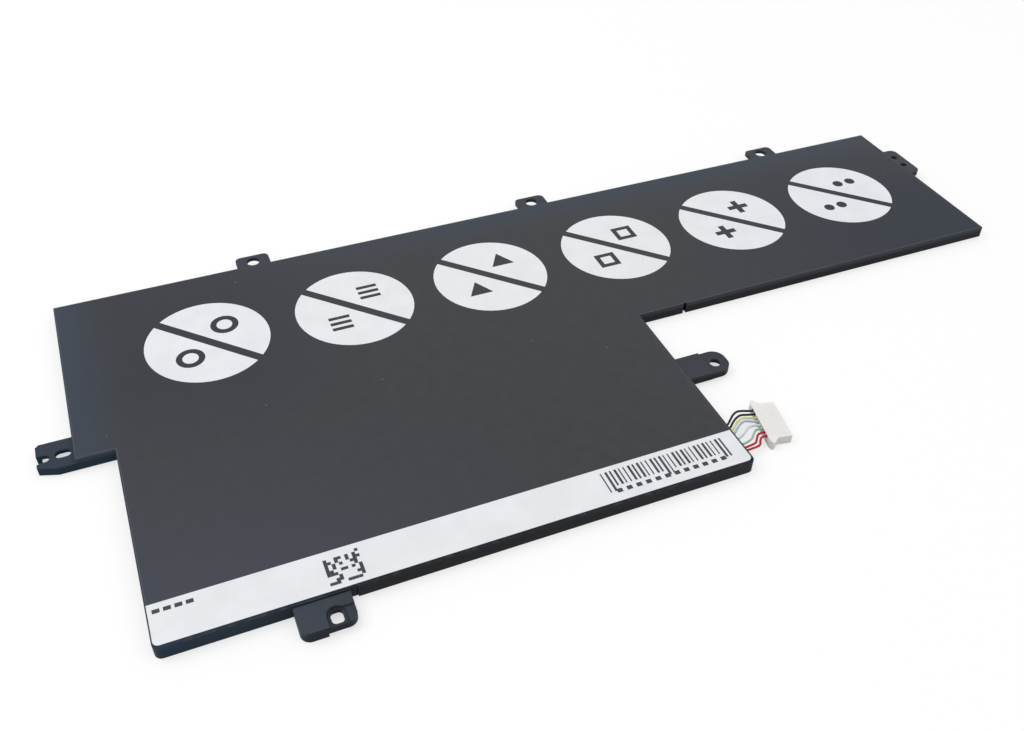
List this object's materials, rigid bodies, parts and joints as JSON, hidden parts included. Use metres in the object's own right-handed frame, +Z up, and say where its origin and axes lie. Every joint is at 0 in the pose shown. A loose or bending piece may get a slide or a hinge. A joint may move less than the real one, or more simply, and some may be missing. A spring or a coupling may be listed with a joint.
{
  "type": "laptop battery",
  "caption": "Slim L-shaped battery pack for a laptop: a moulded frame with screw tabs on its edges, flat cells under a printed film, and a short multi-wire lead.",
  "frame": {"origin": "middle of the underside, mounting tabs included, wires and connector left out", "axes": "+X along the long edge towards the end with the two pin holes, +Y to the back edge with the screw tabs, +Z up through the printed face"},
  "size_m": [0.2696, 0.1282, 0.0033],
  "materials": {
    "frame_plastic": "fine moulded grain",
    "dark_film": "matt film",
    "charcoal_film": "satin printed film",
    "white_ink": "printed ink",
    "dark_ink": "printed ink",
    "adhesive_pad": "double-sided tape",
    "pouch_foil": "laminated foil",
    "cell_tab_metal": "thin sheet",
    "nickel": "nickel strip",
    "board": "glass fibre board with green mask",
    "chip_plastic": "moulded package",
    "fuse_ceramic": "ceramic body",
    "capacitor_ceramic": "ceramic body",
    "solder": "solder",
    "wire_black": "wire sleeve",
    "wire_yellow": "wire sleeve",
    "wire_blue": "wire sleeve",
    "wire_white": "wire sleeve",
    "wire_green": "wire sleeve",
    "wire_red": "wire sleeve",
    "connector_nylon": "natural nylon",
    "contact_metal": "tinned"
  },
  "bodies": {
    "root": {"frame": "frame_plastic", "bottom_film": "dark_film", "cell_pad_arm_left": "adhesive_pad", "cell_pad_arm_right": "adhesive_pad", "cell_pad_block": "adhesive_pad", "cell_arm_left": "pouch_foil", "cell_arm_right": "pouch_foil", "cell_block": "pouch_foil", "terminals_arm_left": "cell_tab_metal", "terminals_arm_right": "cell_tab_metal", "terminals_block": "cell_tab_metal", "arm_link_strip": "nickel", "mid_tap_strip": "nickel", "positive_strip": "nickel", "circuit_board": "board", "gauge_chip": "chip_plastic", "switch_transistors": "chip_plastic", "thermal_fuse": "fuse_ceramic", "sense_resistor": "chip_plastic", "small_capacitors": "capacitor_ceramic", "thermistor": "chip_plastic", "solder_joints": "solder", "wire_black_back": "wire_black", "wire_black_front": "wire_black", "wire_yellow": "wire_yellow", "wire_blue": "wire_blue", "wire_white": "wire_white", "wire_green": "wire_green", "wire_red_back": "wire_red", "wire_red_front": "wire_red", "connector_housing": "connector_nylon", "crimp_contacts": "contact_metal", "top_film": "charcoal_film", "print_discs": "white_ink", "print_strip": "white_ink", "print_marks": "dark_ink"}
  },
  "joints": []
}
